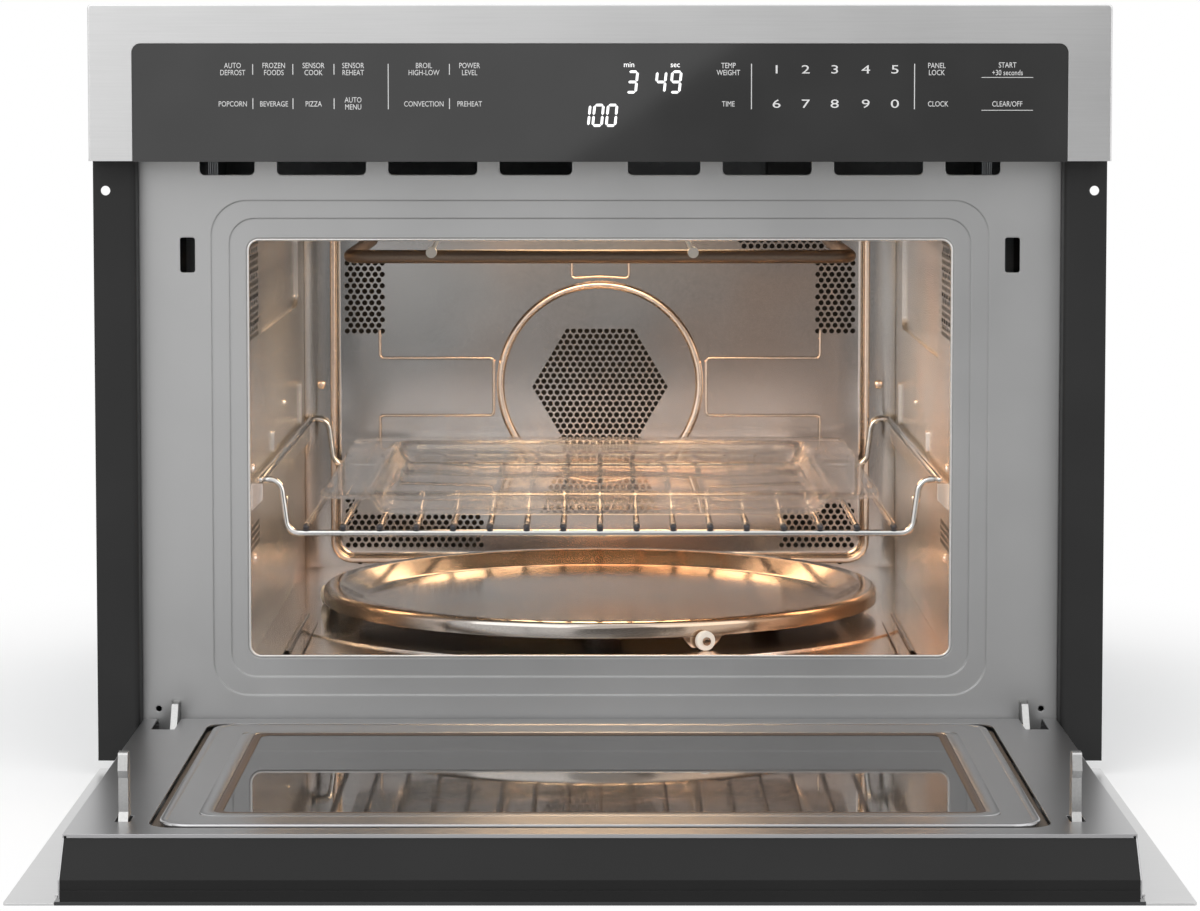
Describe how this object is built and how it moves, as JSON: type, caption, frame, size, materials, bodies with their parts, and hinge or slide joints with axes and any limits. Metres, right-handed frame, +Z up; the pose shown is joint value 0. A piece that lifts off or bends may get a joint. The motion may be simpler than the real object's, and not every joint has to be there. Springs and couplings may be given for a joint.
{
  "type": "combination microwave oven",
  "caption": "Built-in combination microwave oven with touch control panel, drop-down door, wire rack, glass dish and turntable pan; door open flat at rest",
  "frame": {"origin": "centre of the underside of the base pan", "axes": "+Z up, -Y out of the cavity mouth towards the user, +X to the right seen from the front"},
  "size_m": [0.595, 0.9035, 0.455],
  "materials": {
    "stainless_trim": "satin",
    "galvanised_sheet": "satin",
    "front_plate_steel": "satin silver grey",
    "cavity_steel": "satin, warm reflections",
    "black_enamel": "semi gloss",
    "black_plastic": "fine grain",
    "white_plastic": "smooth",
    "brown_seal": "smooth",
    "touch_glass": "dark gloss",
    "door_glass": "dark gloss",
    "window_glass": "clear",
    "dish_glass": "clear",
    "heater_tube": "oxidised",
    "ceramic": "matt",
    "chrome_wire": "polished",
    "pan_steel": "satin",
    "door_panel_steel": "brushed",
    "copper_winding": "lacquered",
    "board_green": "lacquered",
    "display": "gloss",
    "aluminium_fins": "satin",
    "mica": "matt",
    "plated_steel": "satin"
  },
  "bodies": {
    "chassis": {"air_duct": "black_plastic", "base_pan": "galvanised_sheet", "blower_housing": "black_plastic", "casing_screws": "plated_steel", "cavity_back": "cavity_steel", "cavity_ceiling": "cavity_steel", "cavity_floor": "cavity_steel", "cavity_side_left": "cavity_steel", "cavity_side_right": "cavity_steel", "control_board": "board_green", "convection_fan_housing": "galvanised_sheet", "convection_motor": "galvanised_sheet", "cooling_motor": "galvanised_sheet", "display_module": "display", "front_plate": "front_plate_steel", "grill_heater": "heater_tube", "heater_supports": "ceramic", "hinge_arm_left": "plated_steel", "hinge_arm_right": "plated_steel", "interlock_left": "white_plastic", "interlock_right": "white_plastic", "magnetron": "aluminium_fins", "mounting_flange_left": "black_enamel", "mounting_flange_right": "black_enamel", "outer_casing": "galvanised_sheet", "oven_lamp": "ceramic", "panel_carrier": "black_plastic", "panel_trim": "stainless_trim", "power_supply": "copper_winding", "rear_panel": "galvanised_sheet", "ring_heater": "heater_tube", "terminal_box": "black_plastic", "touch_glass": "touch_glass", "turntable_motor": "galvanised_sheet", "waveguide": "galvanised_sheet", "waveguide_cover": "mica"},
    "door": {"door_outer_frame": "stainless_trim", "door_outer_glass": "door_glass", "door_body": "black_enamel", "door_top_cap": "black_plastic", "door_inner_panel": "door_panel_steel", "door_inner_plate": "door_panel_steel", "door_choke_ring": "brown_seal", "door_window_glass": "window_glass", "door_window_seal": "brown_seal", "door_screen": "black_enamel", "hinge_leaf_left": "plated_steel", "hinge_leaf_right": "plated_steel"},
    "latch_left": {"latch_hook_left": "plated_steel"},
    "latch_right": {"latch_hook_right": "plated_steel"},
    "rack": {"rack_frame": "chrome_wire", "rack_rods": "chrome_wire"},
    "dish": {"glass_dish": "dish_glass"},
    "drive": {"drive_coupler": "white_plastic"},
    "pan": {"turntable_pan": "pan_steel"},
    "wheel_1": {"roller_1": "white_plastic"},
    "wheel_2": {"roller_2": "white_plastic"},
    "wheel_3": {"roller_3": "white_plastic"},
    "convection_wheel": {"convection_fan": "plated_steel"},
    "cooling_wheel": {"cooling_impeller": "black_plastic"}
  },
  "joints": [
    {"name": "door_hinge", "type": "hinge", "parent": "chassis", "child": "door", "pos_m": [0, -0.2787, 0.0136], "axis": [-1, 0, 0], "range_deg": [0, 90]},
    {"name": "latch_left_pivot", "type": "hinge", "parent": "door", "child": "latch_left", "pos_m": [-0.244, -0.5697, 0.02], "axis": [1, 0, 0], "range_deg": [0, 4], "stiffness_Nm_per_rad": 0.5},
    {"name": "latch_right_pivot", "type": "hinge", "parent": "door", "child": "latch_right", "pos_m": [0.244, -0.5697, 0.02], "axis": [1, 0, 0], "range_deg": [0, 4], "stiffness_Nm_per_rad": 0.5},
    {"name": "rack_slide", "type": "slide", "parent": "chassis", "child": "rack", "axis": [0, -1, 0], "range_m": [0, 0.034]},
    {"name": "dish_lift", "type": "slide", "parent": "rack", "child": "dish", "axis": [0, 0, 1], "range_m": [0, 0.03]},
    {"name": "turntable_spin", "type": "hinge", "parent": "chassis", "child": "drive", "pos_m": [0, -0.0425, 0.06], "axis": [0, 0, 1], "continuous": true},
    {"name": "pan_lift", "type": "slide", "parent": "drive", "child": "pan", "axis": [0, 0, 1], "range_m": [0, 0.03]},
    {"name": "convection_fan_spin", "type": "hinge", "parent": "chassis", "child": "convection_wheel", "pos_m": [0, 0.1975, 0.1946], "axis": [0, 1, 0], "continuous": true},
    {"name": "cooling_fan_spin", "type": "hinge", "parent": "chassis", "child": "cooling_wheel", "pos_m": [-0.15, 0.2075, 0.39], "axis": [0, 1, 0], "continuous": true},
    {"name": "roller_1_spin", "type": "hinge", "parent": "pan", "child": "wheel_1", "pos_m": [0.06384, -0.21507, 0.0712], "axis": [0.3469, -0.9379, 0], "continuous": true},
    {"name": "roller_2_spin", "type": "hinge", "parent": "pan", "child": "wheel_2", "pos_m": [0.11753, 0.09907, 0.0712], "axis": [0.6388, 0.7694, 0], "continuous": true},
    {"name": "roller_3_spin", "type": "hinge", "parent": "pan", "child": "wheel_3", "pos_m": [-0.18137, -0.0115, 0.0712], "axis": [-0.9857, 0.1685, 0], "continuous": true}
  ],
  "couplings": [
    {"joint": "roller_1_spin", "follows": "turntable_spin", "ratio": -30.667},
    {"joint": "roller_2_spin", "follows": "turntable_spin", "ratio": -30.667},
    {"joint": "roller_3_spin", "follows": "turntable_spin", "ratio": -30.667}
  ]
}
